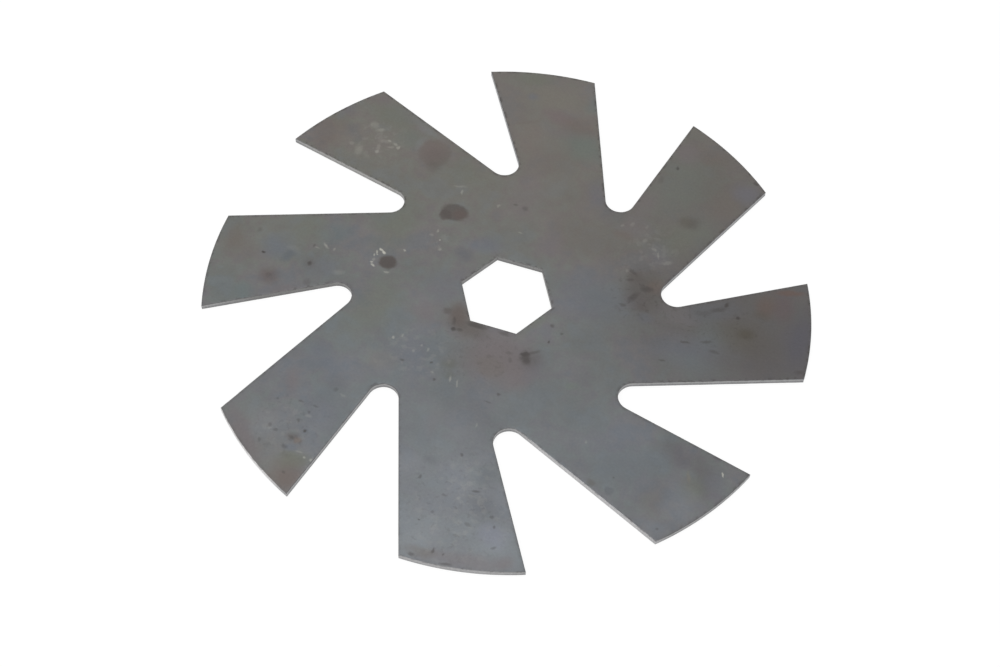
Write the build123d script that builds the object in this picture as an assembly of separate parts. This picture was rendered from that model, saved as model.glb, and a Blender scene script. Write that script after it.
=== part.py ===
from build123d import *
import os
from math import acos, asin, degrees

# Cutter blade of a garden machine: one piece of sheet steel, cut to shape and left bare.
# Its arms sweep anticlockwise, seen from above, round a hub that a hexagonal shaft drives.
# Between two arms lies a gullet: a round root, and two straight edges that run out to the tips.
# The blade lies flat. The origin is the middle of the hexagon on the lower face, +Z points up,
# and +X runs through a corner of the hexagon and the back corner of the first arm's tip.

# Driving dimensions, in millimetres and degrees
TIP_DIAMETER = 200.0  # over the arms' round tips
SHEET_THICKNESS = 2.0
EDGE_BREAK = 0.2  # chamfer that takes the burr off the cut edges
ARM_COUNT = 8
TIP_WIDTH = 38.0  # straight across an arm's tip, from corner to corner
GULLET_RADIUS = 5.0  # round root of the gap between two arms
GULLET_CIRCLE = 112.0  # diameter of the circle that the roots are centred on
GULLET_SWEEP = 14.0  # angle, seen from the middle, by which a root lies behind its mouth
SHAFT_ACROSS_FLATS = 27.0  # hexagonal shaft that drives the blade
SHAFT_CLEARANCE = 0.25  # extra width of the hole over the shaft, across flats

# Sizes that follow from the driving dimensions
tip_radius = TIP_DIAMETER / 2
arm_pitch = 360 / ARM_COUNT
tip_angle = 2 * degrees(asin(TIP_WIDTH / TIP_DIAMETER))
mouth_angle = (tip_angle + arm_pitch) / 2
hole_across_flats = SHAFT_ACROSS_FLATS + SHAFT_CLEARANCE


def polar(radius, angle):
    """The point at a radius and an angle, anticlockwise from +X."""
    return Vector(radius, 0).rotate(Axis.Z, angle)


def root_end(root_centre, tip_corner, side):
    """Where the straight edge from a tip corner runs into the round root, on its side 1 or -1."""
    to_tip = tip_corner - root_centre
    turn = side * degrees(acos(GULLET_RADIUS / to_tip.length))
    return root_centre + to_tip.normalized().rotate(Axis.Z, turn) * GULLET_RADIUS


def gullet():
    """The gap between the first arm and the next one, drawn past the tips so that it cuts clear."""
    root_centre = polar(GULLET_CIRCLE / 2, mouth_angle - GULLET_SWEEP)
    front_tip = polar(tip_radius, tip_angle)
    front_root = root_end(root_centre, front_tip, -1)
    back_tip = polar(tip_radius, arm_pitch)
    back_root = root_end(root_centre, back_tip, 1)
    # Each edge carries on past its tip corner for as long again.
    front_far = front_tip * 2 - front_root
    back_far = back_tip * 2 - back_root
    throat = Polygon(front_root, front_far, back_far, back_root, align=None)
    return Pos(root_centre) * Circle(GULLET_RADIUS) + throat


def blade_outline():
    """The round blank, less its ring of gullets and the hexagon for the shaft."""
    blank = Circle(tip_radius)
    gullets = PolarLocations(0, ARM_COUNT) * gullet()
    shaft_hole = RegularPolygon(hole_across_flats / 2, 6, major_radius=False)
    return blank - gullets - shaft_hole


def cutter_blade():
    """The outline at the sheet's thickness, with the burr taken off along both faces."""
    plate = extrude(blade_outline(), SHEET_THICKNESS)
    cut_edges = plate.faces().filter_by(Axis.Z).edges()
    return chamfer(cut_edges, EDGE_BREAK)


blade = cutter_blade()
blade.label = "cutter_blade"

os.makedirs("parts", exist_ok=True)
export_step(blade, "parts/cutter_blade.step")

box = blade.bounding_box().size
print(f"cutter_blade: {box.X:.2f} x {box.Y:.2f} x {box.Z:.2f} mm, volume {blade.volume:.1f} mm3")
print(f"tip angle {tip_angle:.2f} degrees, arm pitch {arm_pitch:.2f} degrees")
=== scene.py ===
# %% [markdown]
# # A bare steel cutter blade
# The blade is one piece of sheet steel with eight swept arms round a hexagonal hole.
# Its faces still wear the skin of the rolling mill: grey scale with faint olive, mauve and blue tints,
# a few round stains, scuffs and the first rust. Its edges were cut through that skin and are paler.
# The lesson loads the exact solid, sets the camera, builds a finer mesh with true cut edges,
# and then paints the scale, its marks and the cut steel with shader nodes.

# %% Load the solid
import math

import bmesh
import bpy
from mathutils import Color, Matrix, Quaternion, Vector, noise


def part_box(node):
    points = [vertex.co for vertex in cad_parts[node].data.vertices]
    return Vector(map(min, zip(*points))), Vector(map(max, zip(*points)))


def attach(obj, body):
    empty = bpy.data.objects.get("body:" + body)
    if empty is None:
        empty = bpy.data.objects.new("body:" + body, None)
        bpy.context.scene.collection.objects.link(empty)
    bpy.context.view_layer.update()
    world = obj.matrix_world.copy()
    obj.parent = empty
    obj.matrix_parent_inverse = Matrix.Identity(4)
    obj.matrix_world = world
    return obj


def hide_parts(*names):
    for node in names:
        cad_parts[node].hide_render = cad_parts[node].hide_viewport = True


MM = 0.001

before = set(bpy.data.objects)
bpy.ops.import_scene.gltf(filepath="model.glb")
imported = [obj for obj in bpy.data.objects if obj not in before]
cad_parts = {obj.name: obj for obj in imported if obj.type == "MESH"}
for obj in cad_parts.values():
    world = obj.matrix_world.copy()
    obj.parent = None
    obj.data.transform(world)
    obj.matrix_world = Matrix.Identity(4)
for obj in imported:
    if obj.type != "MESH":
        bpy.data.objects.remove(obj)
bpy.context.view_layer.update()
blade_low, blade_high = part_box("cutter_blade")
thickness = blade_high.z - blade_low.z
tip_radius = (blade_high.x - blade_low.x) / 2
print(f"The solid is {2 * tip_radius / MM:.1f} mm across and {thickness / MM:.1f} mm thick")

# %% [markdown]
# ## The camera
# The blade lies flat, and the camera looks down on it from the near right, with a slight lean.
# A Track To constraint could aim the camera, but it always keeps the horizon level.
# So the three axes of the camera are worked out here from where it stands, what it looks at and its lean.

# %% Set the camera
EYE = Vector((88.6, -283.1, 419.5)) * MM
AIM = Vector((2.9, -15.35, 2.0)) * MM
LEAN = math.radians(-1.28)
LENS = 55.96  # millimetres, on a sensor 36 mm wide

ahead = (AIM - EYE).normalized()
level = ahead.cross(Vector((0, 0, 1))).normalized()
camera_right = Quaternion(ahead, LEAN) @ level
camera_up = camera_right.cross(ahead)

camera = bpy.data.objects.new("camera", bpy.data.cameras.new("camera"))
bpy.context.scene.collection.objects.link(camera)
camera.data.lens = LENS
camera.data.sensor_width = 36
camera.data.clip_start = 10 * MM
turned = Matrix((camera_right, camera_up, -ahead)).transposed()
camera.matrix_world = Matrix.Translation(EYE) @ turned.to_4x4()
bpy.context.scene.camera = camera
print(f"The camera stands {(AIM - EYE).length / MM:.0f} mm from the blade")

# %% [markdown]
# ## The outline
# The blade's mesh has to follow the solid exactly, so its outline is read from the solid and not drawn again.
# Cutting the solid at half its thickness leaves only the two loops of the walls: the arms and the hexagon.
# Each loop is then divided into short steps, so that the edge can carry fine marks.

# %% Read the outline
STEP = 0.4 * MM  # between two points along an edge
TIP_MARGIN = 0.05 * MM  # points this near to the tips' circle belong to a round tip
SAME_POINT = 0.001 * MM


def wall_loops(solid):
    """The closed loops of points where the solid's walls cross its middle height."""
    cut = bmesh.new()
    cut.from_mesh(solid.data)
    bmesh.ops.remove_doubles(cut, verts=cut.verts, dist=SAME_POINT)
    everything = cut.verts[:] + cut.edges[:] + cut.faces[:]
    middle = Vector((0, 0, thickness / 2))
    bmesh.ops.bisect_plane(cut, geom=everything, plane_co=middle, plane_no=(0, 0, 1),
                           clear_inner=True, clear_outer=True)
    loops = []
    seen = set()
    for start in cut.verts:
        if start in seen:
            continue
        loop = []
        onward = [start]
        while onward:
            loop.append(onward[0].co.xy.copy())
            seen.add(onward[0])
            around = [edge.other_vert(onward[0]) for edge in onward[0].link_edges]
            onward = [vert for vert in around if vert not in seen]
        loops.append(loop)
    cut.free()
    return loops


def signed_area(loop):
    """The area inside a loop, negative where it runs clockwise."""
    return sum(here.cross(ahead) for here, ahead in zip(loop, loop[1:] + loop[:1])) / 2


def divided(loop):
    """The loop in short steps, with the steps of the round tips set out on their circle."""
    points = []
    for here, ahead in zip(loop, loop[1:] + loop[:1]):
        count = max(1, round((ahead - here).length / STEP))
        on_tip = min(here.length, ahead.length) > tip_radius - TIP_MARGIN
        for number in range(count):
            point = here.lerp(ahead, number / count)
            points.append(point * (tip_radius / point.length) if on_tip else point)
    return points


loops = sorted(wall_loops(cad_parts["cutter_blade"]), key=lambda loop: abs(signed_area(loop)))
hexagon, arms = loops
# Steel lies to the left of the way along a loop: anticlockwise round the arms, clockwise round the hole.
if signed_area(arms) < 0:
    arms.reverse()
if signed_area(hexagon) > 0:
    hexagon.reverse()
outline = [divided(arms), divided(hexagon)]
print(f"The arms have {len(outline[0])} steps, the hexagon {len(outline[1])}")

# %% [markdown]
# ## The cut edge
# A blade like this is cut from sheet, and the burr is broken off afterwards. Seen close up, the edge is
# a wall with fine upright tool marks, and a small round along each face that is a little uneven.
# A Bevel modifier would make every round the same, so each column of the edge is placed by itself:
# Perlin noise sets how large its round is and how deep the tool marks are.

# %% Shape the edge
ROUND = 0.2 * MM  # mean radius where the burr was broken off
ROUND_WANDER = 0.4  # share by which that radius comes and goes along the edge
SLOW_WANDER = 7 * MM  # how far apart the slow and the quick changes of the radius lie
QUICK_WANDER = 1.6 * MM
ROUND_TURNS = [math.radians(angle) for angle in (90, 67.5, 45, 22.5, 0)]
WALL_SHARES = [share / 8 for share in range(1, 8)]
TOOL_MARK = 0.03 * MM  # deepest upright mark in the wall
TOOL_WIDTH = 0.9 * MM  # width and height of such a mark
TOOL_HEIGHT = 4 * MM
FACE_MARGIN = 1.2 * MM  # strip of the face that belongs to the rim
CORNER_TURN = math.sin(math.radians(20))  # a sharper turn than this is a corner
SLIDE = 6 * MM  # how far from a corner the points of an edge slide along with it


def round_at(point):
    """The radius of the broken edge near a point of the outline."""
    slow = noise.noise(point.to_3d() / SLOW_WANDER)
    quick = noise.noise(point.to_3d() / QUICK_WANDER)
    return ROUND * (1 + ROUND_WANDER * (slow + quick) / 2)


def tool_mark_at(point, height):
    """How deep the wall is marked at a point of the outline and a height."""
    place = Vector((point.x / TOOL_WIDTH, point.y / TOOL_WIDTH, height / TOOL_HEIGHT))
    return TOOL_MARK * (1 + noise.noise(place)) / 2


def edge_column(point):
    """Inset and height of the points down one column, from the upper face over the wall to the lower one."""
    size = round_at(point)
    rim = [(size * (1 - math.cos(turn)), size * (1 - math.sin(turn))) for turn in ROUND_TURNS]
    upper = [(inset, thickness - drop) for inset, drop in rim]
    heights = [thickness - size - share * (thickness - 2 * size) for share in WALL_SHARES]
    wall = [(tool_mark_at(point, height), height) for height in heights]
    lower = [(inset, drop) for inset, drop in reversed(rim)]
    return [(FACE_MARGIN, thickness)] + upper + wall + lower + [(FACE_MARGIN, 0)]


def outward_ways(loop):
    """The way out of the steel at each point, lengthened at a corner so that its edges are inset alike."""
    count = len(loop)
    along = [(loop[(number + 1) % count] - loop[number]).normalized() for number in range(count)]
    sides = [Vector((way.y, -way.x)) for way in along]
    ways = [(sides[n - 1] + sides[n]) / (1 + sides[n - 1].dot(sides[n])) for n in range(count)]
    corners = [n for n in range(count) if along[n - 1].cross(along[n]) > CORNER_TURN]
    slides = [(corner, step, ways[corner] - sides[corner + (step - 1) // 2])
              for corner in corners for step in (-1, 1)]
    # Points beside an outer corner slide along their edge with it, so that the inset rows don't cross.
    for corner, step, slide in slides:
        number = (corner + step) % count
        gap = (loop[number] - loop[corner]).length
        while gap < SLIDE:
            ways[number] = ways[number] + slide * (1 - gap / SLIDE)
            number = (number + step) % count
            gap = (loop[number] - loop[corner]).length
    return ways


row_count = len(edge_column(outline[0][0]))
print(f"Each column of the edge has {row_count} points")

# %% [markdown]
# ## The blade's mesh
# The columns are joined into strips round both loops, and the two flat faces are filled between the strips.
# A filled face with a hole is awkward to write by hand, and Blender's triangle fill finds the hole by itself.
# A named attribute marks the strip beside the rim.
# The faces carry a few hundred small marks, and a renderer works through all the marks of a material at
# every point. So the mesh is cut like a cake through the gullets, and each arm's faces get their own slot.

# %% Build the blade
ARM_COUNT = 8
SECTOR = 360 / ARM_COUNT
FIRST_CUT = 19.5  # angle of the cut through the first gullet, in degrees
CUT_SLOT = ARM_COUNT  # the cut edge comes after the arms
SMOOTH_LIMIT = math.radians(35)  # a sharper fold than this stays a crisp line


def add_strips(mesh, loop, rim_layer):
    """Adds the edge along one loop and returns its first and last rows of points."""
    columns = []
    for point, outward in zip(loop, outward_ways(loop)):
        column = []
        for inset, height in edge_column(point):
            place = point - outward * inset
            vert = mesh.verts.new((place.x, place.y, height))
            vert[rim_layer] = 0.0 if inset == FACE_MARGIN else 1.0
            column.append(vert)
        columns.append(column)
    for left, right in zip(columns, columns[1:] + columns[:1]):
        for row in range(row_count - 1):
            face = mesh.faces.new((left[row], left[row + 1], right[row + 1], right[row]))
            beside_face = row in (0, row_count - 2)
            face.material_index = 0 if beside_face else CUT_SLOT
    return [column[0] for column in columns], [column[-1] for column in columns]


def fill_face(mesh, rings, facing):
    """Fills the flat face between rings of points, facing up or down."""
    edges = []
    for ring in rings:
        edges += [mesh.edges.get(pair) for pair in zip(ring, ring[1:] + ring[:1])]
    made = bmesh.ops.triangle_fill(mesh, use_beauty=True, edges=edges, normal=(0, 0, facing))
    faces = [item for item in made["geom"] if isinstance(item, bmesh.types.BMFace)]
    for face in faces:
        face.normal_update()
        if face.normal.z * facing < 0:
            face.normal_flip()
    return len(faces)


def share_out(mesh):
    """Cuts the mesh through the gullets and gives the faces of each arm their own slot."""
    for number in range(ARM_COUNT // 2):
        angle = math.radians(FIRST_CUT + number * SECTOR)
        across = (-math.sin(angle), math.cos(angle), 0)
        everything = mesh.verts[:] + mesh.edges[:] + mesh.faces[:]
        bmesh.ops.bisect_plane(mesh, geom=everything, plane_co=(0, 0, 0), plane_no=across)
    for face in mesh.faces:
        if face.material_index != CUT_SLOT:
            middle = face.calc_center_median()
            past_cut = math.degrees(math.atan2(middle.y, middle.x)) - FIRST_CUT
            face.material_index = int(past_cut % 360 // SECTOR)


steel = bmesh.new()
rim_layer = steel.verts.layers.float.new("rim")
rings = [add_strips(steel, loop, rim_layer) for loop in outline]
filled = fill_face(steel, [upper for upper, lower in rings], 1)
filled += fill_face(steel, [lower for upper, lower in rings], -1)
share_out(steel)
blade_mesh = bpy.data.meshes.new("cutter_blade_steel")
steel.to_mesh(blade_mesh)
steel.free()
blade_mesh.shade_smooth()
blade_mesh.set_sharp_from_angle(angle=SMOOTH_LIMIT)

blade = bpy.data.objects.new("cutter_blade_steel", blade_mesh)
bpy.context.scene.collection.objects.link(blade)
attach(blade, "root")
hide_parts("cutter_blade")
print(f"The blade has {len(blade_mesh.polygons)} faces, {filled} of them in the flat faces")

# %% [markdown]
# ## Helpers for shader nodes
# A shader is a tree of nodes and links, and written out in full it takes a page for each finish.
# A few helpers keep the cells below short: they add a node and fill or link its inputs, do sums, mix colours,
# and open a node group with named sockets. Colours are written as they look on a screen, from 0 to 255,
# and are turned into the linear values that the renderer works with.

# %% Write the helpers
VALUE = "NodeSocketFloat"
VECTOR = "NodeSocketVector"
COLOUR = "NodeSocketColor"
# Places of the colour sockets of a Mix node
MIX_A = 6
MIX_B = 7
MIX_RESULT = 2
# Noise hardly ever leaves this range
CLOUD_LOW = 0.3
CLOUD_HIGH = 0.7


def add(tree, kind, inputs=None, **settings):
    """Adds a node, makes its settings, and fills its inputs with values or links them to other nodes."""
    node = tree.nodes.new(kind)
    for name, value in settings.items():
        setattr(node, name, value)
    for name, value in (inputs or {}).items():
        if isinstance(value, bpy.types.NodeSocket):
            tree.links.new(value, node.inputs[name])
        else:
            node.inputs[name].default_value = value
    return node


def math_node(tree, operation, first, second=0.0):
    """The result of a Math node."""
    return add(tree, "ShaderNodeMath", {0: first, 1: second}, operation=operation).outputs[0]


def blend(tree, share, first, second, mode="MIX"):
    """The result of mixing two colours by a share."""
    inputs = {0: share, MIX_A: first, MIX_B: second}
    return add(tree, "ShaderNodeMix", inputs, data_type="RGBA", blend_type=mode).outputs[MIX_RESULT]


def spread(tree, value, low, high, to_low=0.0, to_high=1.0, smooth=False):
    """The value, moved from one range to another and kept inside it."""
    inputs = {"Value": value, "From Min": low, "From Max": high, "To Min": to_low, "To Max": to_high}
    kind = "SMOOTHSTEP" if smooth else "LINEAR"
    return add(tree, "ShaderNodeMapRange", inputs, interpolation_type=kind).outputs[0]


def swing(tree, cloud, low, high):
    """A noise cloud, spread from a low to a high value."""
    return spread(tree, cloud, CLOUD_LOW, CLOUD_HIGH, low, high)


def vector_node(tree, operation, first, second):
    """The result of a Vector Math node."""
    return add(tree, "ShaderNodeVectorMath", {0: first, 1: second}, operation=operation).outputs[0]


def colour_ramp(tree, value, colours):
    """A value turned into colours, each given with its place on the ramp, from low to high."""
    ramp = add(tree, "ShaderNodeValToRGB", {"Fac": value})
    stops = ramp.color_ramp.elements
    for stop, (place, colour) in zip(stops, (colours[0], colours[-1])):
        stop.position = place
        stop.color = colour
    for place, colour in colours[1:-1]:
        stops.new(place).color = colour
    return ramp.outputs["Color"]


def new_group(name, inputs, outputs):
    """An empty node group with its named sockets: the group, what comes in and what goes out."""
    group = bpy.data.node_groups.new(name, "ShaderNodeTree")
    for label, kind in inputs.items():
        group.interface.new_socket(label, in_out="INPUT", socket_type=kind)
    for label, kind in outputs.items():
        group.interface.new_socket(label, in_out="OUTPUT", socket_type=kind)
    return group, group.nodes.new("NodeGroupInput").outputs, group.nodes.new("NodeGroupOutput").inputs


def use(tree, group, inputs):
    """Places a node group in a tree and returns its outputs."""
    return add(tree, "ShaderNodeGroup", inputs, node_tree=group).outputs


def screen(red, green, blue):
    """A colour as it looks on a screen, from 0 to 255, as linear red, green, blue and alpha."""
    linear = Color((red / 255, green / 255, blue / 255)).from_srgb_to_scene_linear()
    return (*linear, 1.0)


print("The helpers are ready")

# %% [markdown]
# ## Mottling, shared by the faces and the cut edge
# Mill scale and cut steel are both cloudy, at different sizes. One node group gives four clouds made from
# noise: a slow one for light and dark, one for the hue, smaller patches and a fine grain. The two sides of
# the sheet would show much the same clouds, so their height is stretched and each side gets its own.

# %% Make the mottling group
mottling, into, out = new_group(
    "Mottling",
    {"Position": VECTOR, "Cloud size": VALUE, "Patch size": VALUE, "Grain size": VALUE,
     "Height stretch": VALUE},
    {"Tone": VALUE, "Hue": VALUE, "Patch": VALUE, "Grain": VALUE},
)
stretch = add(mottling, "ShaderNodeCombineXYZ", {"X": 1.0, "Y": 1.0, "Z": into["Height stretch"]})
place = vector_node(mottling, "MULTIPLY", into["Position"], stretch.outputs[0])
for label, size, detail, shift in (
    ("Tone", "Cloud size", 3.0, 0.0),
    ("Hue", "Cloud size", 2.0, 0.7),
    ("Patch", "Patch size", 2.0, 1.3),
    ("Grain", "Grain size", 2.0, 1.9),
):
    moved = vector_node(mottling, "ADD", place, (shift, shift, shift))
    frequency = math_node(mottling, "DIVIDE", 1.0, into[size])
    clouds = add(
        mottling, "ShaderNodeTexNoise",
        {"Vector": moved, "Scale": frequency, "Detail": detail, "Roughness": 0.55},
    )
    mottling.links.new(clouds.outputs["Fac"], out[label])
print(f"{mottling.name} has {len(mottling.nodes)} nodes")

# %% [markdown]
# ## Ragged places
# A stain painted as a plain ellipse looks drawn with a compass. If the position is pushed about a little by
# noise before the ellipse is measured, the same ellipse comes out ragged, like a real stain.

# %% Make the ragged position group
ragged, into, out = new_group(
    "Ragged position",
    {"Position": VECTOR, "Size": VALUE, "Reach": VALUE},
    {"Position": VECTOR},
)
frequency = math_node(ragged, "DIVIDE", 1.0, into["Size"])
push = add(ragged, "ShaderNodeTexNoise", {"Vector": into["Position"], "Scale": frequency, "Detail": 2.0})
# The push goes either way and stays level.
centred = vector_node(ragged, "SUBTRACT", push.outputs["Color"], (0.5, 0.5, 0.5))
level_push = vector_node(ragged, "MULTIPLY", centred, (1.0, 1.0, 0.0))
scaled = add(
    ragged, "ShaderNodeVectorMath",
    {0: level_push, "Scale": into["Reach"]}, operation="SCALE",
)
ragged.links.new(vector_node(ragged, "ADD", into["Position"], scaled.outputs[0]), out["Position"])
print(f"{ragged.name} has {len(ragged.nodes)} nodes")

# %% [markdown]
# ## One mark
# Every tint, stain, spot and scuff on the blade is an ellipse with a place, a size, a turn, a soft or crisp
# edge and a colour. An image could hold them all, but a node group that lays one mark over a colour keeps
# each mark a line of plain words and numbers, and it stays sharp at any distance.
# The ellipse is thin in height too, so a mark on one side of the sheet doesn't show on the other.

# %% Make the mark group
MARK_HEIGHT = 1.0 * MM

mark, into, out = new_group(
    "Mark",
    {"Colour": COLOUR, "Position": VECTOR, "Centre": VECTOR, "Half size": VECTOR, "Turn": VALUE,
     "Softness": VALUE, "Strength": VALUE, "Mark colour": COLOUR},
    {"Colour": COLOUR},
)
offset = vector_node(mark, "SUBTRACT", into["Position"], into["Centre"])
turned = add(
    mark, "ShaderNodeVectorRotate", {"Vector": offset, "Angle": into["Turn"]},
    rotation_type="Z_AXIS", invert=True,
).outputs[0]
ball = vector_node(mark, "DIVIDE", turned, into["Half size"])
distance = add(mark, "ShaderNodeVectorMath", {0: ball}, operation="LENGTH").outputs["Value"]
outside = math_node(mark, "ADD", 1.0, into["Softness"])
inside = math_node(mark, "SUBTRACT", 1.0, into["Softness"])
mask = spread(mark, distance, outside, inside, smooth=True)
cover = math_node(mark, "MULTIPLY", mask, into["Strength"])
mark.links.new(blend(mark, cover, into["Colour"], into["Mark colour"]), out["Colour"])
print(f"{mark.name} has {len(mark.nodes)} nodes")

# %% [markdown]
# ## Flecks
# Scuffed places aren't evenly pale: they are clusters of small bare flecks, and dirty places are clusters of
# dark ones. They are too many to list, but noise of which only what lies above a level is kept leaves such
# flecks, and the level says how many there are. The rims use the same group for the dirt along them.

# %% Make the fleck group
FLECK_FADE = 0.16  # how far above the level a fleck is whole

flecks, into, out = new_group(
    "Flecks",
    {"Position": VECTOR, "Size": VALUE, "Level": VALUE},
    {"Mask": VALUE},
)
frequency = math_node(flecks, "DIVIDE", 1.0, into["Size"])
specks = add(
    flecks, "ShaderNodeTexNoise",
    {"Vector": into["Position"], "Scale": frequency, "Detail": 3.0, "Roughness": 0.6},
)
upper_level = math_node(flecks, "ADD", into["Level"], FLECK_FADE)
flecks.links.new(spread(flecks, specks.outputs["Fac"], into["Level"], upper_level, smooth=True), out["Mask"])
print(f"{flecks.name} has {len(flecks.nodes)} nodes")

# %% [markdown]
# ## The marks of this blade
# These marks were placed arm by arm, anticlockwise from the arm at the right, and then tuned.
# An image could show them too, but a list stays sharp and each mark can be moved by itself.
# Each line gives a colour, the place in millimetres, half the length and width, the turn in degrees,
# how soft the edge is and how strong the mark is. Spots and bare flecks have one colour and softness each.

# %% List the marks
OLIVE = screen(106, 109, 98)
GREEN = screen(102, 110, 103)
TEAL = screen(101, 110, 110)
BLUE = screen(101, 106, 114)
VIOLET = screen(104, 103, 110)
MAUVE = screen(111, 104, 105)
TAN = screen(115, 111, 103)
BROWN = screen(105, 99, 94)
RUST = screen(106, 93, 85)
WARM = screen(113, 108, 102)
COOL = screen(105, 109, 113)
PALE_AND_HIGHLIGHT = screen(124, 127, 131)
SLATE = screen(94, 96, 100)
DUSK_AND_SHADE = screen(89, 86, 86)
MUD = screen(84, 78, 70)
STAIN = screen(84, 78, 75)
SOOT = screen(68, 64, 62)
SCUFF = screen(140, 139, 134)
BARE = screen(182, 180, 170)
MOSS = screen(92, 94, 86)
UMBER = screen(98, 92, 90)

WASHES_AND_PAINTED_LIGHT = [
    # Warm at the far side and cool at the near side; a pale painted highlight on the lower arm, and dusky
    # painted shade at the right and on the upper right arm
    (WARM, (-5, 75), (115, 65), 0, 0.9, 0.68),
    (COOL, (0, -60), (110, 60), 0, 0.9, 0.7),
    (PALE_AND_HIGHLIGHT, (8, -98), (36, 30), 0, 0.9, 0.55),
    (DUSK_AND_SHADE, (88, 12), (46, 30), 10, 0.8, 0.88),
    (screen(90, 86, 82), (58, 55), (34, 36), 0, 0.9, 0.45),
    (DUSK_AND_SHADE, (8, -32), (24, 18), 0, 0.8, 0.15),
    (TAN, (-88, -6), (18, 16), 0, 0.8, 0.3),
    (TAN, (-52, -82), (18, 10), -40, 0.8, 0.35),
]

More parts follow.
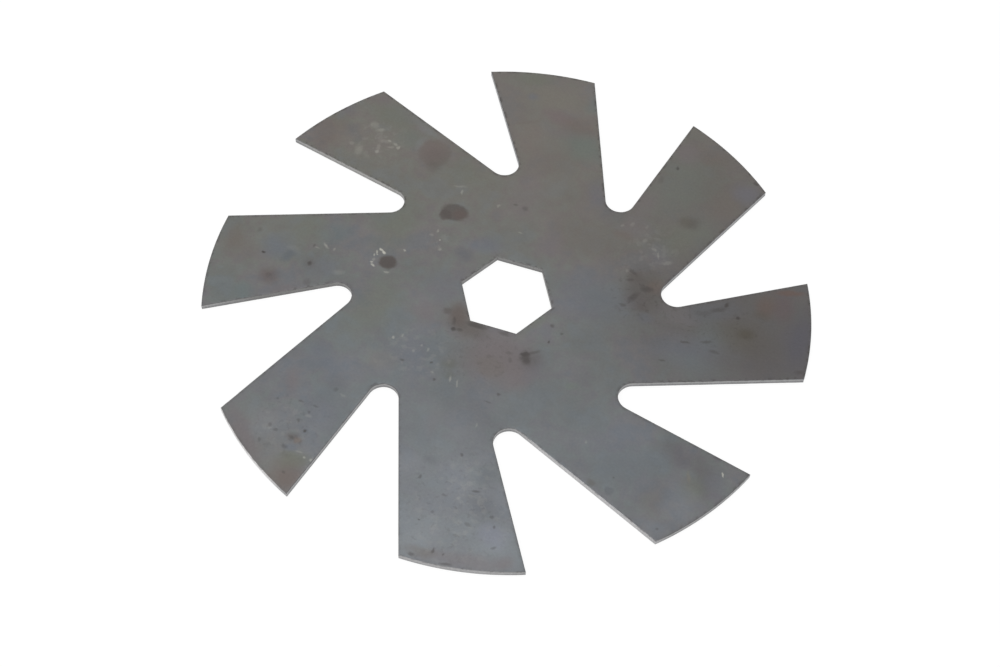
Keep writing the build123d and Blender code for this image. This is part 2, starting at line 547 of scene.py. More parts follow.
TINTS = [
    # The arm at the right
    (SLATE, (64, 15), (9, 4), 25, 0.7, 0.5),
    (MAUVE, (56, 10), (5, 3), 0, 0.8, 0.35),
    (TEAL, (68, 6), (5, 6), 0, 0.8, 0.35),
    (BLUE, (62, -2), (10, 5), 15, 0.8, 0.4),
    (TEAL, (66, -7), (7, 4), 0, 0.8, 0.35),
    (screen(89, 85, 75), (77, 9.5), (7.5, 5.5), 0, 0.8, 0.5),
    (STAIN, (85, 4), (6, 8), 10, 0.8, 0.25),
    (screen(100, 82, 74), (82, 23.5), (3.2, 4), 0, 0.8, 0.5),
    (screen(96, 82, 84), (87.5, 25), (2.5, 4.5), 0, 0.8, 0.5),
    (MUD, (81, 19.5), (2.5, 2), 0, 0.8, 0.4),
    (screen(84, 83, 92), (95.5, 14), (4, 10), 5, 0.8, 0.6),
    # The upper right arm
    (GREEN, (42, 62), (8, 13), -15, 0.8, 0.4),
    (MAUVE, (40.5, 78), (4, 4), 0, 0.8, 0.6),
    (RUST, (49, 80), (6, 3), -10, 0.8, 0.25),
    (BROWN, (59, 59), (4.5, 11), -22, 0.7, 0.75),
    (VIOLET, (64.5, 68), (4.5, 4), -40, 0.8, 0.65),
    (MAUVE, (32, 51), (4, 6), 0, 0.8, 0.4),
    (GREEN, (54, 47), (5, 6), 0, 0.8, 0.35),
    # The upper arm
    (TAN, (-12, 88), (10, 6), 0, 0.8, 0.7),
    (OLIVE, (-21, 95), (6, 2.5), 15, 0.8, 0.6),
    (BLUE, (-19.2, 85.8), (1.8, 1.8), 0, 0.8, 0.5),
    (screen(112, 102, 101), (-7, 80), (5, 3.2), 0, 0.8, 0.8),
    (RUST, (1, 77.5), (5, 3.5), -10, 0.8, 0.45),
    (MAUVE, (-4, 73), (6, 2), 10, 0.8, 0.4),
    (BROWN, (-17, 73.5), (3.5, 0.8), 15, 0.6, 0.5),
    (screen(117, 109, 103), (-14, 67), (5, 8), 15, 0.8, 0.5),
    (TEAL, (3.5, 89), (2.5, 4), 15, 0.8, 0.5),
    (GREEN, (5, 69), (7, 5), -20, 0.8, 0.7),
    (BROWN, (-4, 58), (8, 7), 0, 0.8, 0.4),
    (VIOLET, (16, 51), (3.5, 5), 20, 0.8, 0.5),
    # The upper left arm
    (RUST, (-82, 46), (5, 6), 10, 0.8, 0.45),
    (VIOLET, (-80, 58), (3, 3), 0, 0.8, 0.4),
    (MAUVE, (-68.5, 67), (3, 2), -30, 0.8, 0.6),
    (OLIVE, (-63, 60), (7, 4), -30, 0.8, 0.5),
    (GREEN, (-53, 53), (4, 4), 0, 0.8, 0.5),
    (TAN, (-68, 46), (12, 8), -20, 0.8, 0.4),
    (SLATE, (-74.5, 50), (2.5, 2), 0, 0.8, 0.35),
    (SLATE, (-71, 47), (1.8, 1.8), 0, 0.8, 0.3),
    (PALE_AND_HIGHLIGHT, (-49, 58.5), (5, 1.5), -27, 0.8, 0.3),
    (PALE_AND_HIGHLIGHT, (-49.3, 52), (1.3, 3), -20, 0.7, 0.25),
    # The arm at the left
    (RUST, (-94, -7), (2.8, 4.5), 10, 0.8, 0.4),
    (BROWN, (-91, -11), (6, 4), 0, 0.8, 0.4),
    (BLUE, (-79, -7), (4.5, 3.5), -20, 0.8, 0.6),
    (screen(92, 97, 102), (-73.6, -8.8), (1.7, 2.4), 0, 0.7, 0.65),
    (OLIVE, (-72, 4), (4, 6), 0, 0.8, 0.4),
    (TEAL, (-62.5, 5), (4.5, 5), -20, 0.8, 0.5),
    (TEAL, (-83, -27), (3.5, 3.5), 30, 0.8, 0.6),
    (VIOLET, (-62, -10), (6, 4), 30, 0.8, 0.35),
    (MAUVE, (-71, -22), (5, 2), 30, 0.8, 0.5),
    # The lower left arm
    (BLUE, (-50, -41), (4, 3.5), 0, 0.8, 0.5),
    (MAUVE, (-53.3, -54), (2, 5), 10, 0.8, 0.6),
    (SLATE, (-39, -51.5), (3, 3), 0, 0.8, 0.35),
    (BLUE, (-41, -62), (6, 8), 0, 0.8, 0.35),
    (PALE_AND_HIGHLIGHT, (-57, -71), (6, 5), -30, 0.8, 0.25),
    (MAUVE, (-60, -77), (9, 2.5), -43, 0.8, 0.7),
    (screen(101, 103, 92), (-42, -80.5), (5, 2.8), 10, 0.7, 0.7),
    (screen(104, 94, 89), (-41.5, -87), (6, 5), 0, 0.8, 0.85),
    (BLUE, (-45, -77.3), (2.6, 1.2), 15, 0.7, 0.6),
    # The lower arm
    (SLATE, (16.5, -66), (3, 4), 20, 0.8, 0.45),
    (SLATE, (19, -76.5), (5, 3.5), -20, 0.8, 0.45),
    (BLUE, (5, -71), (4, 4), 0, 0.8, 0.25),
    (SLATE, (-2, -66.3), (2.2, 1.5), 0, 0.7, 0.35),
    (screen(122, 124, 134), (24.5, -84.5), (4, 3.5), 0, 0.7, 0.6),
    (MAUVE, (20, -95), (12, 2.4), 10, 0.8, 0.5),
    (MAUVE, (30, -91.5), (2.5, 2), 0, 0.8, 0.5),
    (BROWN, (6, -97), (5, 1.6), 5, 0.8, 0.5),
    (MAUVE, (-6, -54), (2.5, 5), 0, 0.8, 0.3),
    # The lower right arm
    (BLUE, (54, -45), (14, 9), -30, 0.8, 0.35),
    (screen(92, 88, 92), (69, -39.5), (6, 3.5), -15, 0.8, 0.45),
    (screen(90, 86, 87), (78.5, -44.5), (4, 6), 20, 0.8, 0.5),
    (OLIVE, (76, -50), (3, 4), 0, 0.8, 0.4),
    (BROWN, (66, -57), (3, 5.5), 0, 0.8, 0.35),
    (PALE_AND_HIGHLIGHT, (75, -57), (4, 5), 0, 0.8, 0.35),
    (VIOLET, (83, -46), (3, 5), 20, 0.8, 0.5),
    (PALE_AND_HIGHLIGHT, (68.5, -67), (4, 2.5), -30, 0.8, 0.35),
    # The hub, far side
    (OLIVE, (-45, 16), (6, 12), 0, 0.8, 0.5),
    (OLIVE, (-28, 44), (8, 5), 10, 0.8, 0.4),
    (MAUVE, (-7, 42), (6, 8), 0, 0.8, 0.4),
    (BLUE, (-13, 17), (6, 3), 15, 0.8, 0.6),
    (SLATE, (-18.5, 10.5), (3, 2.5), 0, 0.8, 0.65),
    (BROWN, (17, 31), (12, 7), -10, 0.8, 0.5),
    (MAUVE, (8, 24), (3.5, 4.5), 0, 0.8, 0.6),
    (MAUVE, (32, 41), (5, 4.5), 0, 0.8, 0.5),
    (RUST, (30, 36.5), (3, 2), 0, 0.8, 0.3),
    (VIOLET, (43, 32), (4.5, 3.5), 0, 0.8, 0.45),
    (OLIVE, (48, 40), (5, 8), -20, 0.8, 0.4),
    (SLATE, (23, 44), (4, 4), 0, 0.8, 0.3),
    (BLUE, (27, 8), (12, 9), 0, 0.8, 0.5),
    # The hub, near side
    (OLIVE, (-40, -18), (6, 12), -15, 0.8, 0.5),
    (VIOLET, (-20, -4), (6, 6), 0, 0.8, 0.5),
    (MAUVE, (-23, -15), (5, 3.5), 0, 0.8, 0.5),
    (BLUE, (-22, -31), (8, 9), 0, 0.8, 0.35),
    (TAN, (-30, -37), (4, 3.5), 0, 0.8, 0.35),
    (BLUE, (-43, -44), (4, 4), 0, 0.8, 0.4),
    (BROWN, (-9, -15), (7, 5), -20, 0.7, 0.8),
    (MAUVE, (5, -23), (9, 9), 0, 0.7, 0.9),
    (MAUVE, (13, -29), (5, 5), 0, 0.8, 0.7),
    (BROWN, (4, -28), (4, 3.3), 0, 0.5, 0.5),
    (VIOLET, (17.5, -24), (3, 5), 0, 0.8, 0.5),
    (VIOLET, (17, -10), (2.4, 2), 0, 0.8, 0.5),
    (OLIVE, (12, -9), (1.8, 6), -30, 0.8, 0.4),
    (GREEN, (31.5, -26.5), (2, 1.6), 0, 0.7, 0.5),
    (MOSS, (-8.5, -31.5), (2.6, 1.8), 10, 0.6, 0.55),
    (MOSS, (-7.5, -35.5), (1.6, 1.8), 0, 0.7, 0.4),
    (UMBER, (-4, -27), (6, 7), 0, 0.8, 0.4),
    (UMBER, (12, -24), (8, 6), 0, 0.8, 0.35),
    (SLATE, (2, -45), (12, 4), 0, 0.8, 0.2),
]

STAINS = [
    # Three round stains
    (BROWN, (-43.2, 49.2), (5.6, 6), 20, 0.16, 0.7),
    (screen(112, 99, 96), (-44, 49.8), (4, 4.2), 0, 0.7, 0.5),
    (STAIN, (-41.8, 47.6), (4.2, 4), 20, 0.5, 0.2),
    (STAIN, (-42, 43.3), (2.6, 2), 0, 0.6, 0.25),
    (STAIN, (-27.9, 26.7), (4.7, 3.5), 8, 0.2, 0.8),
    (STAIN, (-30.4, 24.8), (2.1, 2.3), 30, 0.25, 0.8),
    (screen(98, 83, 79), (-25.8, 26.5), (2.3, 2.3), 0, 0.7, 0.45),
    (STAIN, (-41.7, -0.5), (3, 2.7), 0, 0.25, 0.95),
    (SOOT, (-41.2, -1), (2.2, 2), 0, 0.7, 0.2),
    # Rust and dirt beside the gullet at the right
    (STAIN, (42.5, 16), (5.8, 7.8), 10, 0.6, 0.6),
    (RUST, (45.5, 19.5), (2.5, 3), 0, 0.7, 0.4),
    (STAIN, (37.8, 21), (2.4, 2.4), 0, 0.6, 0.45),
    (SOOT, (43, 17.5), (2, 1.2), 10, 0.6, 0.6),
    (SOOT, (39.6, 12.6), (1, 2.4), -25, 0.6, 0.5),
    (STAIN, (43.5, 9.5), (2, 1.6), 0, 0.7, 0.4),
    (SLATE, (45.5, 6), (2.4, 2), 0, 0.7, 0.6),
    # Rust on the arms at the right
    (screen(102, 82, 74), (88.2, 31.4), (4.6, 1.1), 17, 0.6, 0.6),
    (screen(76, 70, 60), (78.5, 10.8), (2.6, 1.9), 15, 0.8, 0.55),
    (MUD, (48.3, 48.8), (2.6, 2.2), 0, 0.7, 0.45),
    (STAIN, (51, 49), (2, 2.6), 0, 0.7, 0.3),
    # The spot on the arm at the left
    (screen(92, 78, 75), (-77, -18.7), (3, 2.8), 0, 0.8, 0.5),
    (STAIN, (-66.2, -9.3), (1.7, 1.9), 0, 0.8, 0.3),
    # The blotch on the lower left arm
    (STAIN, (-45, -73), (2.2, 1.4), 0, 0.6, 0.5),
    (RUST, (-43.4, -73.6), (1.2, 1), 0, 0.6, 0.6),
    # Spots and a light streak on the lower right arm
    (MUD, (46.7, -58), (1.3, 0.9), -20, 0.6, 0.4),
    (SLATE, (52.6, -59), (1.5, 1.4), 0, 0.35, 0.6),
    (TAN, (74.3, -46.3), (1.9, 0.5), -70, 0.6, 0.6),
    # Brown dirt round the hexagon
    (screen(92, 82, 78), (-12.3, -13), (2.6, 4.4), 20, 0.6, 0.65),
    (STAIN, (-16.2, -12.5), (1.4, 1.3), 0, 0.5, 0.55),
    (STAIN, (-7, -17), (6, 2.6), -5, 0.7, 0.4),
    # The dark comma below the hexagon
    (STAIN, (15.5, -21.5), (3, 3), 0, 0.8, 0.35),
    (SOOT, (13.7, -21.6), (1.5, 2.3), 25, 0.5, 0.7),
    (SOOT, (13.2, -20.3), (1.7, 0.8), 18, 0.4, 0.65),
    (SOOT, (15.6, -18.7), (1.7, 0.5), 28, 0.6, 0.42),
]

DARK_SPOTS = [
    # The arm at the right
    ((69.5, 20), (0.6, 0.9), 0, 0.8),
    ((74.6, 16.1), (0.6, 0.7), 0, 0.9),
    ((67.5, 17.2), (2.8, 0.8), 32, 0.45),
    ((63, 14), (2.4, 1), 15, 0.25),
    ((67, 3.5), (1.8, 0.6), 20, 0.45),
    ((60.5, 1.1), (1.3, 0.4), 15, 0.5),
    ((70, 0.6), (1.6, 0.7), 0, 0.4),
    ((98.2, 2), (1.8, 0.8), 15, 0.4),
    ((55.3, -8), (1, 0.4), 10, 0.5),
    # The upper right arm
    ((39, 71), (0.5, 0.9), 0, 0.7),
    ((66.7, 73.2), (1, 0.7), -40, 0.6),
    ((35, 64), (0.8, 1.6), 0, 0.2),
    # The upper left arm
    ((-55.5, 47), (0.5, 0.5), 0, 0.15),
    # The arm at the left
    ((-82.6, -10.3), (0.7, 0.5), 0, 0.9),
    ((-66.2, -9.5), (0.6, 1), 10, 0.7),
    ((-87.5, -2), (0.9, 0.9), 0, 0.2),
    ((-77, -18.5), (0.9, 0.8), 0, 0.25),
    ((-67.5, -2.2), (0.5, 0.6), 0, 0.35),
    ((-64, -17), (1.2, 1.2), 0, 0.25),
    # The lower left arm
    ((-39.2, -52.7), (0.6, 0.9), 0, 0.3),
    ((-42.6, -60.2), (0.8, 0.35), 0, 0.4),
    ((-47.8, -60.3), (0.8, 0.4), 0, 0.4),
    ((-44, -63.2), (0.4, 0.4), 0, 0.35),
    ((-46, -67), (0.5, 0.6), 0, 0.45),
    ((-42.5, -69.7), (0.6, 0.6), 0, 0.8),
    ((-45.6, -73.2), (0.9, 0.5), 0, 0.35),
    ((-51.3, -72.4), (0.7, 0.5), 0, 0.4),
    ((-53.6, -71.3), (0.5, 0.8), 0, 0.4),
    ((-54.5, -77), (0.5, 0.8), 0, 0.35),
    ((-46.3, -77), (1, 0.6), 0, 0.4),
    ((-43, -85.5), (0.5, 0.5), 0, 0.4),
    ((-55, -61.5), (0.4, 0.4), 0, 0.4),
    ((-28.4, -47.2), (1.3, 0.5), 45, 0.5),
    ((-25.8, -45.8), (0.9, 0.4), 15, 0.5),
    # The lower arm
    ((6.3, -61.8), (0.5, 0.5), 0, 0.5),
    ((-3.3, -73.2), (0.5, 0.6), 0, 0.5),
    ((14.7, -72.3), (1.3, 0.4), 10, 0.5),
    ((6, -76.6), (0.8, 0.35), 0, 0.35),
    ((4.5, -83), (0.5, 0.6), 0, 0.35),
    ((1.7, -87), (0.4, 0.3), 0, 0.6),
    ((22, -79), (0.6, 0.5), 0, 0.4),
    ((23.7, -82), (0.4, 0.5), 0, 0.5),
    ((16, -83.7), (0.9, 0.6), 0, 0.3),
    ((25.7, -88.5), (0.8, 0.4), 45, 0.4),
    ((9, -95), (0.4, 0.9), 0, 0.6),
    ((12.6, -95.5), (0.4, 0.5), 0, 0.5),
    ((3.5, -98.3), (1, 0.5), 0, 0.5),
    ((14, -98.2), (1.8, 0.4), 8, 0.5),
    # The lower right arm
    ((70, -66.6), (0.4, 0.4), 0, 0.4),
    ((61, -66), (1.2, 0.4), -27, 0.4),
    ((52.7, -54), (0.4, 0.3), 0, 0.4),
    # The hub
    ((-9.2, 36.8), (0.8, 0.5), 0, 0.4),
    ((-5.4, 36.3), (0.9, 0.9), 0, 0.35),
    ((37.4, 8.6), (0.9, 0.6), 20, 0.45),
    ((37, 22.5), (1.8, 0.5), -30, 0.4),
    ((36.8, 19.3), (1.2, 0.5), 10, 0.4),
    ((-5.2, -14.9), (3.2, 0.8), 0, 0.65),
    ((4.2, -15), (1.8, 0.6), 0, 0.4),
    ((-12.8, -15.5), (0.6, 1.6), 15, 0.45),
    ((-12, -18.7), (0.7, 0.7), 0, 0.8),
    ((-10, -18.4), (1.1, 0.5), 0, 0.5),
    ((8, -21.5), (1.1, 0.5), 0, 0.28),
    ((9.2, -24), (0.5, 1), 20, 0.3),
    ((18, -6.8), (0.7, 0.6), -30, 0.5),
    ((21.7, -9), (0.5, 0.4), 0, 0.5),
    ((19, -13.4), (0.4, 0.4), 0, 0.7),
    ((10, -37.4), (0.5, 0.5), 0, 0.5),
    ((7.5, -41.2), (1.3, 0.3), 0, 0.35),
    ((-14.2, -33), (0.5, 0.5), 0, 0.6),
    ((-11.3, -38.8), (0.5, 0.5), 0, 0.6),
    ((-23.4, -35.3), (0.8, 0.4), 0, 0.5),
]

BARE_FLECKS = [
    # Scraped patches on the upper left arm
    ((-67.8, 54.5), (1.6, 1.2), -20, 0.14),
    ((-65, 53), (1.3, 0.8), 30, 0.2),
    ((-61.5, 48.7), (2.2, 0.7), 10, 0.14),
    ((-57.9, 48.4), (0.9, 0.5), -20, 0.27),
    ((-56.4, 47.4), (0.5, 0.8), 0, 0.33),
    ((-60.2, 49.3), (0.5, 0.4), 0, 0.25),
    ((-59, 46.8), (1.2, 0.5), 20, 0.17),
    ((-63, 45.3), (0.6, 1.6), 10, 0.15),
    ((-62.8, 43.4), (0.7, 0.6), 0, 0.25),
    ((-72.5, 44), (0.8, 0.7), 0, 0.12),
    ((-69, 42), (1.2, 2), 15, 0.15),
    # The arm at the left
    ((-63.8, -1), (1.2, 0.45), -35, 0.3),
    ((-60.5, -1.5), (0.4, 0.7), 0, 0.22),
    ((-66.3, -2.7), (0.7, 0.3), 0, 0.2),
    ((-73.5, -5.6), (2, 1.2), 0, 0.07),
    ((-55.6, -9.8), (1.7, 1), 20, 0.1),
    # The lower left and lower arms
    ((-43.6, -64.4), (1, 0.6), 0, 0.12),
    ((-41.5, -77.4), (1.2, 0.3), 10, 0.14),
    ((-39, -78.4), (0.4, 0.4), 0, 0.3),
    ((-36.8, -79), (0.4, 0.5), 0, 0.3),
    ((-36.4, -54), (1.2, 0.3), -20, 0.1),
    ((-54.3, -72.3), (1.2, 1), 0, 0.08),
    ((7, -50.4), (0.3, 0.7), 0, 0.14),
    ((10.3, -76.3), (0.5, 0.4), 0, 0.1),
    ((17.5, -82), (1.2, 0.5), 0, 0.07),
    # The lower right arm
    ((83.8, -42.2), (0.7, 0.3), -60, 0.7),
    ((41.2, -45), (0.4, 0.5), 0, 0.15),
    # Round the stain at the left of the hub
    ((-45.6, 3.7), (0.7, 0.4), -20, 0.9),
    ((-44.4, 3), (0.8, 0.35), -30, 1.0),
    ((-46.6, 2.3), (0.35, 0.7), 20, 0.6),
    ((-47.3, 0.8), (0.35, 0.5), 0, 0.45),
    ((-46.1, 1.4), (0.3, 0.3), 0, 0.5),
    ((-46.9, -2.3), (0.5, 0.4), 0, 0.6),
    ((-46, -3.3), (0.7, 0.4), -25, 0.7),
    ((-46.5, -1), (0.5, 0.7), 0, 0.22),
    ((-40.8, -4.4), (1, 0.4), 10, 0.3),
    ((-38, 6), (0.4, 0.4), 0, 0.45),
    # The far side of the hub
    ((-28.3, 36), (0.4, 1.1), 10, 0.25),
    ((-30, 38), (2, 0.4), 15, 0.15),
    ((-14.5, 34.3), (0.4, 0.7), 0, 0.2),
    ((-3.9, 25.9), (0.6, 0.3), 0, 0.2),
    ((-30.5, 17.3), (0.3, 0.7), 0, 0.25),
    ((-28.6, 14), (0.3, 0.3), 0, 0.5),
    ((-32, 15), (0.6, 0.5), 0, 0.15),
    ((-27, 10.3), (0.5, 0.6), 0, 0.18),
    ((31, 42), (0.6, 1), 0, 0.11),
    ((36, 42.5), (0.5, 0.9), 0, 0.09),
    ((28, 40.3), (0.5, 0.5), 0, 0.13),
    ((37, 36.6), (0.7, 1), -20, 0.12),
    ((41, 34), (1.1, 0.5), -25, 0.17),
    ((43, 32), (0.3, 1.3), 15, 0.17),
    ((46.6, 30), (1.5, 0.8), 25, 0.14),
    ((34.8, 22.6), (0.5, 0.6), 0, 0.12),
    # The near side of the hub
    ((-29, -28.3), (0.5, 0.5), 0, 0.35),
    ((-26.5, -26.3), (0.4, 0.6), 0, 0.2),
    ((-19.4, -28), (0.4, 0.5), 0, 0.18),
    ((-17, -29), (0.4, 0.8), 0, 0.2),
    ((-21.2, -31), (0.4, 0.5), 0, 0.18),
    ((-6.4, -37), (0.3, 1.1), 12, 0.28),
    ((-3.8, -38), (0.3, 1.2), 12, 0.22),
    ((-12.6, -36.6), (0.5, 0.4), 0, 0.15),
]

SCUFFS = [
    # Places with many faint bare flecks
    (SCUFF, (-64, 48), (8, 8), 0, 0.7, 0.25),
    (SCUFF, (40, 34), (9, 8), 30, 0.7, 0.16),
    (SCUFF, (-30, 14), (6, 6), 0, 0.7, 0.2),
    (SCUFF, (-20, -31), (14, 9), 0, 0.7, 0.2),
    (SCUFF, (-49, -70), (9, 9), 0, 0.7, 0.2),
    (SCUFF, (12, -80), (16, 18), 0, 0.7, 0.22),
]

SPECKS = [
    # Places with many faint dark specks
    (SOOT, (0, -26), (18, 13), -10, 0.7, 0.2),
    (SOOT, (40, 15), (8, 10), 10, 0.7, 0.38),
    (SOOT, (-48, -69), (12, 12), -20, 0.7, 0.22),
    (SOOT, (10, -80), (16, 22), 10, 0.8, 0.22),
    (SOOT, (66, 10), (20, 10), 15, 0.8, 0.3),
]
mark_count = sum(len(marks) for marks in (WASHES_AND_PAINTED_LIGHT, TINTS, STAINS, DARK_SPOTS, BARE_FLECKS, SCUFFS, SPECKS))
print(f"{mark_count} marks in all")

# %% [markdown]
# ## Rolled scale
# The faces are oxide on steel: darker than clean metal, satin rather than polished, and cloudy.
# One flat grey would look like paint. So each material starts from the clouds of the mottling group and lays
# over them, in turn, washes and tints, among them a painted highlight and painted shade, stains, scuffs and
# specks, single spots and flecks, and the dirt along the rim, with painted shade on the far rims. A fine
# grain ends it. There is one material for each arm, with only the marks that reach its slice.
# A Principled shader, more metal than not, gives the satin gloss.

# %% Make the rolled scale
SCALE_METAL = 0.6
SPOT_SOFTNESS = 0.6
# The hues of the scale, with their places along the hue clouds
SCALE_HUES = [
    (0.32, screen(103, 109, 109)),
    (0.44, screen(107, 110, 104)),
    (0.56, screen(111, 106, 106)),
    (0.68, screen(104, 106, 111)),
]
RIM_NEAR = -70 * MM  # the dirt flecks along the rims grow stronger from here to there, away from the near side: painted shade on the far rims
RIM_FAR = 20 * MM
TINT_DRIFT = 3  # furthest that a tint can be pushed aside, in millimetres
SPOT_DRIFT = 1


def lay_marks(tree, colour, position, marks, strength_mask=None, height=MARK_HEIGHT):
    """Lays a list of marks over a colour, each through the mark group."""
    for mark_colour, (x, y), (long, wide), turn, softness, strength in marks:
        if strength_mask is not None:
            strength = math_node(tree, "MULTIPLY", strength_mask, strength)
        colour = use(tree, mark, {
            "Colour": colour,
            "Position": position,
            "Centre": (x * MM, y * MM, thickness),
            "Half size": (long * MM, wide * MM, height),
            "Turn": math.radians(turn),
            "Softness": softness,
            "Strength": strength,
            "Mark colour": mark_colour,
        })["Colour"]
    return colour


def in_sector(place, size, softness, drift, middle):
    """Whether a mark reaches into the sector round a middle angle."""
    reach = max(size) * (1 + softness) + drift
    distance = math.hypot(*place)
    if reach >= distance:
        return True
    apart = (math.degrees(math.atan2(place[1], place[0])) - middle + 180) % 360 - 180
    return abs(apart) < SECTOR / 2 + math.degrees(math.asin(reach / distance))


def marks_near(marks, drift, middle):
    """The marks of a list that reach into the sector round a middle angle."""
    return [row for row in marks if in_sector(row[1], row[2], row[4], drift, middle)]


def new_material(name):
    """An empty material: its node tree and its Principled shader."""
    material = bpy.data.materials.new(name)
    material.use_nodes = True
    tree = material.node_tree
    tree.nodes.clear()
    shader = tree.nodes.new("ShaderNodeBsdfPrincipled")
    end = tree.nodes.new("ShaderNodeOutputMaterial")
    tree.links.new(shader.outputs[0], end.inputs["Surface"])
    return material, tree, shader


def plain_marks(colour, rows):
    """Spots or flecks as full lines, with the colour and the softness that they share."""
    return [(colour, place, size, turn, SPOT_SOFTNESS, strength) for place, size, turn, strength in rows]


def rolled_scale(number):
    """The grey skin of the rolling mill on one arm, with its tints, stains, rust and scuffs, and some painted
    highlight and shade.
    """
    middle = FIRST_CUT + (number + 0.5) * SECTOR
    material, tree, shader = new_material(f"rolled_scale_{number + 1}")
    position = add(tree, "ShaderNodeNewGeometry").outputs["Position"]
    clouds = use(tree, mottling, {
        "Position": position, "Cloud size": 14 * MM, "Patch size": 4 * MM, "Grain size": 0.8 * MM,
        "Height stretch": 40.0,
    })
    hue_shift = swing(tree, clouds["Patch"], -0.1, 0.1)
    colour = colour_ramp(tree, math_node(tree, "ADD", clouds["Hue"], hue_shift), SCALE_HUES)
    slow_tone = swing(tree, clouds["Tone"], 0.91, 1.09)
    patch_tone = swing(tree, clouds["Patch"], 1.1, 0.9)
    tone = math_node(tree, "MULTIPLY", slow_tone, patch_tone)
    colour = add(tree, "ShaderNodeHueSaturation", {"Color": colour, "Value": tone}).outputs[0]

    drifting = use(tree, ragged, {"Position": position, "Size": 8 * MM, "Reach": 5 * MM})["Position"]
    # The washes hold a painted highlight on the lower arm and painted shade at the right and upper right
    colour = lay_marks(tree, colour, drifting, marks_near(WASHES_AND_PAINTED_LIGHT + TINTS, TINT_DRIFT, middle))
    frayed = use(tree, ragged, {"Position": position, "Size": 2.5 * MM, "Reach": 1.2 * MM})["Position"]
    ragged_edge = use(tree, ragged, {"Position": frayed, "Size": 0.9 * MM, "Reach": 0.6 * MM})["Position"]
    colour = lay_marks(tree, colour, ragged_edge, marks_near(STAINS, SPOT_DRIFT, middle))
    bare_places = use(tree, flecks, {"Position": position, "Size": 2.6 * MM, "Level": 0.5})["Mask"]
    colour = lay_marks(tree, colour, drifting, marks_near(SCUFFS, TINT_DRIFT, middle), bare_places)
    dark_places = use(tree, flecks, {"Position": drifting, "Size": 1.8 * MM, "Level": 0.54})["Mask"]
    colour = lay_marks(tree, colour, drifting, marks_near(SPECKS, TINT_DRIFT, middle), dark_places)
    single = plain_marks(SOOT, DARK_SPOTS) + plain_marks(BARE, BARE_FLECKS)
    colour = lay_marks(tree, colour, ragged_edge, marks_near(single, SPOT_DRIFT, middle))

    rim = add(tree, "ShaderNodeAttribute", attribute_name="rim").outputs["Fac"]
    rim_dirt = use(tree, flecks, {"Position": position, "Size": 2 * MM, "Level": 0.46})["Mask"]
    along = add(tree, "ShaderNodeSeparateXYZ", {"Vector": position}).outputs["Y"]
    # Real dirt flecks along the rim, made stronger towards the far side as painted shade
    far_side_shade = spread(tree, along, RIM_NEAR, RIM_FAR, 0.3, 0.8)
    rim_dirt_and_shade = math_node(tree, "MULTIPLY", math_node(tree, "MULTIPLY", rim, rim_dirt), far_side_shade)
    colour = blend(tree, rim_dirt_and_shade, colour, SOOT)

    grain = swing(tree, clouds["Grain"], 0.96, 1.04)
    colour = add(tree, "ShaderNodeHueSaturation", {"Color": colour, "Value": grain}).outputs[0]
    tree.links.new(colour, shader.inputs["Base Color"])
    shader.inputs["Metallic"].default_value = SCALE_METAL
    tree.links.new(swing(tree, clouds["Tone"], 0.46, 0.36), shader.inputs["Roughness"])
    bump = add(tree, "ShaderNodeBump", {"Strength": 0.15, "Distance": 0.02 * MM, "Height": clouds["Grain"]})
    tree.links.new(bump.outputs[0], shader.inputs["Normal"])
    return material


for number in range(ARM_COUNT):
    blade_mesh.materials.append(rolled_scale(number))
    print(f"The scale of arm {number + 1} has {len(blade_mesh.materials[number].node_tree.nodes)} nodes")

# %% [markdown]
# ## Cut steel
# The walls show the bare metal under the scale. They are paler than the faces, most of all in their upper
# half, darker at the top of the upper rim, and darker at the lower rim, where shade is painted. A flat colour
# would lose that, so a ramp over the height gives it. A few broad marks make some walls dull and paint
# highlights on others, the mottling group, drawn out upright, gives the tool marks, and the fleck group gives
# dark specks of dirt along the upper rim.

# %% Make the cut steel
WALL_REACH = 50 * MM  # tall enough for a mark to cover the whole wall
CUT_METAL = 0.7
RIM_DIRT = 0.4  # how dark the specks along the upper rim are
# The colours of the wall, with their places from the lower face to the upper one; the dark at the lower face
# is painted shade
WALL_COLOURS_AND_SHADE = [
    # Painted shade along the lower rim, which turns down away from the light
    (0.0, screen(110, 110, 111)),
    (0.12, screen(130, 130, 131)),
    (0.5, screen(138, 138, 139)),
    (0.7, screen(160, 160, 161)),
    (0.88, screen(162, 161, 162)),
    (1.0, screen(96, 96, 97)),
]

WALL_TONES_AND_HIGHLIGHTS = [
    # Dull along the arm at the left and round the hexagon; painted highlights on some walls, most where they
    # look to the near left and the near right
    (screen(112, 111, 110), (-78, -22), (30, 8), 17, 0.4, 0.75),
    (screen(225, 223, 223), (-60, -80), (24, 8), -47, 0.4, 0.8),
    (screen(200, 199, 200), (45, -58), (40, 8), -37, 0.4, 0.68),
    (screen(178, 177, 178), (10, -98), (24, 6), 6, 0.4, 0.5),
    (screen(176, 174, 168), (-66, 33), (22, 8), -17, 0.4, 0.35),
    (screen(116, 115, 113), (0, 0), (20, 20), 0, 0.1, 0.6),
]


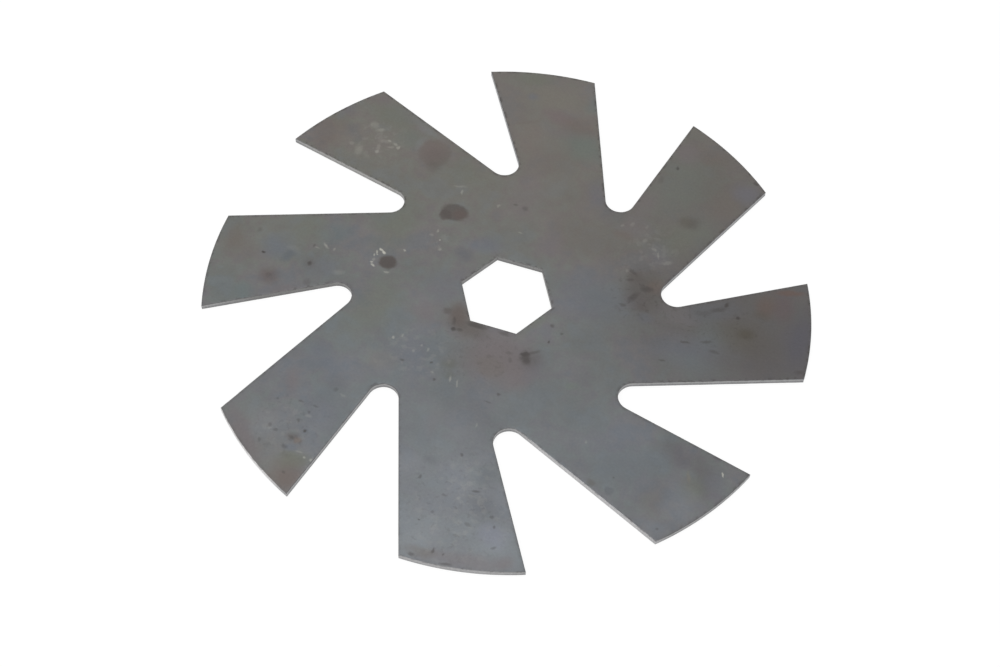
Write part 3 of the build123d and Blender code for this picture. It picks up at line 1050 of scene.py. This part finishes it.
def cut_steel():
    """The paler metal of the cut walls and their broken rims."""
    material, tree, shader = new_material("cut_steel")
    position = add(tree, "ShaderNodeNewGeometry").outputs["Position"]
    streaks = use(tree, mottling, {
        "Position": position, "Cloud size": 2.5 * MM, "Patch size": 6 * MM, "Grain size": 0.5 * MM,
        "Height stretch": 0.3,
    })
    height = add(tree, "ShaderNodeSeparateXYZ", {"Vector": position}).outputs["Z"]
    colour = colour_ramp(tree, spread(tree, height, 0.0, thickness), WALL_COLOURS_AND_SHADE)
    # Broad marks: painted highlights on the walls facing the near left and near right, and duller walls on
    # the arm at the left and round the hexagon
    colour = lay_marks(tree, colour, position, WALL_TONES_AND_HIGHLIGHTS, height=WALL_REACH)
    tone = swing(tree, streaks["Grain"], 0.9, 1.1)
    colour = add(tree, "ShaderNodeHueSaturation", {"Color": colour, "Value": tone}).outputs[0]
    upper_rim = spread(tree, height, 0.82 * thickness, 0.92 * thickness)
    rim_dirt = use(tree, flecks, {"Position": position, "Size": 1.6 * MM, "Level": 0.46})["Mask"]
    rim_specks = math_node(tree, "MULTIPLY", upper_rim, rim_dirt)
    colour = blend(tree, math_node(tree, "MULTIPLY", rim_specks, RIM_DIRT), colour, SOOT)
    tree.links.new(colour, shader.inputs["Base Color"])
    shader.inputs["Metallic"].default_value = CUT_METAL
    tree.links.new(swing(tree, streaks["Tone"], 0.5, 0.34), shader.inputs["Roughness"])
    bump = add(tree, "ShaderNodeBump", {"Strength": 0.2, "Distance": 0.03 * MM, "Height": streaks["Grain"]})
    tree.links.new(bump.outputs[0], shader.inputs["Normal"])
    return material


blade_mesh.materials.append(cut_steel())
print(f"The cut steel has {len(blade_mesh.materials[CUT_SLOT].node_tree.nodes)} nodes")

# %% [markdown]
# ## The floor
# The blade lies on plain white. A floor that is only lit never comes out evenly white, so for the camera and
# for reflections most of it glows at strength 1, and the rest stays a lit surface that keeps the shadow.
# From below the floor is clear, so that the underside of the blade can be looked at.

# %% Lay the floor
FLOOR_SIZE = 12.0
FLOOR_GAP = 0.02 * MM  # keeps the floor clear of the blade's lower face
FLOOR_GLOW = 0.9
FLOOR_SHADE = 0.15  # what is lit on top of the glow, and keeps the shadow


def seen_directly(tree):
    """1 for rays from the camera, from reflections and through glass, 0 for the rest."""
    path = add(tree, "ShaderNodeLightPath").outputs
    direct = math_node(tree, "MAXIMUM", path["Is Camera Ray"], path["Is Glossy Ray"])
    return math_node(tree, "MAXIMUM", direct, path["Is Transmission Ray"])


def white_floor():
    """White that glows for the camera, keeps a faint shadow and is clear from below."""
    material = bpy.data.materials.new("white_floor")
    material.use_nodes = True
    tree = material.node_tree
    tree.nodes.clear()
    lit = add(tree, "ShaderNodeBsdfDiffuse", {"Color": (0.9, 0.9, 0.9, 1.0)})
    glow = add(tree, "ShaderNodeEmission", {"Color": (1.0, 1.0, 1.0, 1.0), "Strength": FLOOR_GLOW})
    faint = add(tree, "ShaderNodeBsdfDiffuse", {"Color": (FLOOR_SHADE, FLOOR_SHADE, FLOOR_SHADE, 1.0)})
    glowing = add(tree, "ShaderNodeAddShader", {0: glow.outputs[0], 1: faint.outputs[0]})
    direct = seen_directly(tree)
    upper = add(tree, "ShaderNodeMixShader", {0: direct, 1: lit.outputs[0], 2: glowing.outputs[0]})
    clear = add(tree, "ShaderNodeBsdfTransparent")
    below = add(tree, "ShaderNodeNewGeometry").outputs["Backfacing"]
    both = add(tree, "ShaderNodeMixShader", {0: below, 1: upper.outputs[0], 2: clear.outputs[0]})
    end = add(tree, "ShaderNodeOutputMaterial")
    tree.links.new(both.outputs[0], end.inputs["Surface"])
    return material


floor_mesh = bpy.data.meshes.new("floor")
half = FLOOR_SIZE / 2
corners = [(x, y, -FLOOR_GAP) for x, y in ((-half, -half), (half, -half), (half, half), (-half, half))]
floor_mesh.from_pydata(corners, [], [(0, 1, 2, 3)])
floor_mesh.materials.append(white_floor())
floor = bpy.data.objects.new("floor", floor_mesh)
bpy.context.scene.collection.objects.link(floor)
print(f"The floor is {FLOOR_SIZE:.0f} m wide")

# %% [markdown]
# ## Light
# White all round shows every colour about as it was written. One lamp could light the rest, but with two
# soft ones the faces and the walls are set apart: one high on the left, whose glow in the satin scale fades
# towards the far right arm, and one on the near side that catches the walls and rims there.

# %% Set the light
WORLD_LEVEL = 0.7


def soft_lamp(name, place, target, size, watts, colour):
    """A square lamp that looks at a point."""
    lamp = bpy.data.objects.new(name, bpy.data.lights.new(name, "AREA"))
    lamp.data.size = size
    lamp.data.energy = watts
    lamp.data.color = colour
    lamp.location = place
    lamp.rotation_mode = "QUATERNION"
    lamp.rotation_quaternion = (Vector(target) - Vector(place)).to_track_quat("-Z", "Y")
    lamp.visible_camera = False
    bpy.context.scene.collection.objects.link(lamp)
    return lamp


soft_lamp("left_lamp", (-0.075, 0.086, 0.45), (0.0, -0.05, 0.0), 0.2, 0.165, (0.88, 0.94, 1.0))
soft_lamp("near_lamp", (-0.05, -0.55, 0.40), (0.0, -0.02, 0.0), 0.25, 0.5, (1.0, 1.0, 1.0))

world = bpy.data.worlds.new("white_room")
world.use_nodes = True
world.node_tree.nodes.clear()
level = spread(world.node_tree, seen_directly(world.node_tree), 0.0, 1.0, WORLD_LEVEL, 1.0)
sky = add(world.node_tree, "ShaderNodeBackground", {"Color": (1.0, 1.0, 1.0, 1.0), "Strength": level})
world_end = add(world.node_tree, "ShaderNodeOutputWorld")
world.node_tree.links.new(sky.outputs[0], world_end.inputs["Surface"])
bpy.context.scene.world = world
bpy.context.scene.view_settings.view_transform = "Standard"
print(f"World at {WORLD_LEVEL}, with {len(bpy.data.lights)} lamps")
